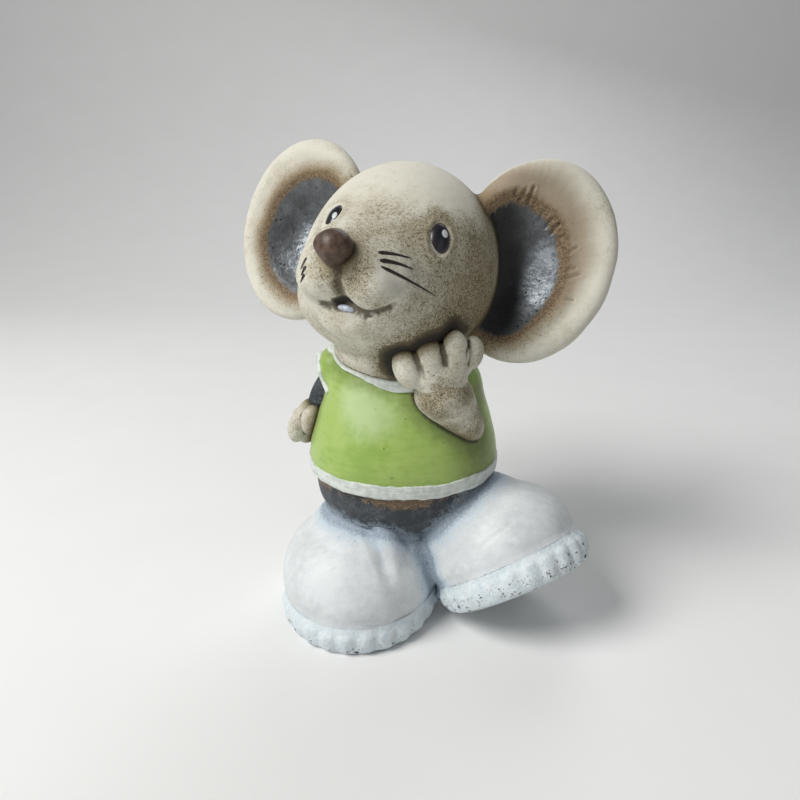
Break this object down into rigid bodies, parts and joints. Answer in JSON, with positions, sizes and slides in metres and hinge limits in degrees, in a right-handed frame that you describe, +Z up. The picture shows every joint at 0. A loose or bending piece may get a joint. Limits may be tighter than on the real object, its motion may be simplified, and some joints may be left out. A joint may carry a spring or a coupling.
{
  "type": "mouse figurine",
  "caption": "Standing ceramic mouse figurine in a sleeveless shirt and big round shoes, chin on fist, with wide dished ears.",
  "frame": {"origin": "on the table plane under the middle of the whole outline", "axes": "+Z up from the flat right sole to the top of the right ear; the body faces -Y and its left side is +X"},
  "size_m": [0.118, 0.0812, 0.1514],
  "materials": {
    "bisque": "matte painted clay, cream with brown wash",
    "ear": "matte painted clay, cream rim and dark graphite bowl",
    "shirt": "satin yellow-green glaze",
    "trim": "brushed off-white glaze",
    "trousers": "matte dark blue-grey with brown wash",
    "shoe": "matte warm white with a pale blue airbrushed edge",
    "sole": "matte bluish white, rough",
    "nose": "satin chocolate brown",
    "eye": "gloss black with a painted highlight",
    "tooth": "white glaze"
  },
  "bodies": {
    "root": {"head": "bisque", "left_ear": "ear", "right_ear": "ear", "nose": "nose", "left_eye": "eye", "right_eye": "eye", "tooth": "tooth", "shirt": "shirt", "shirt_hem": "trim", "collar_band": "trim", "armhole_band": "trim", "right_arm": "trousers", "right_hand": "bisque", "left_forearm": "bisque", "left_fist": "bisque", "hips": "trousers", "right_leg": "trousers", "left_leg": "trousers", "right_shoe": "shoe", "left_shoe": "shoe", "right_sole": "sole", "left_sole": "sole", "tail": "bisque"}
  },
  "joints": []
}
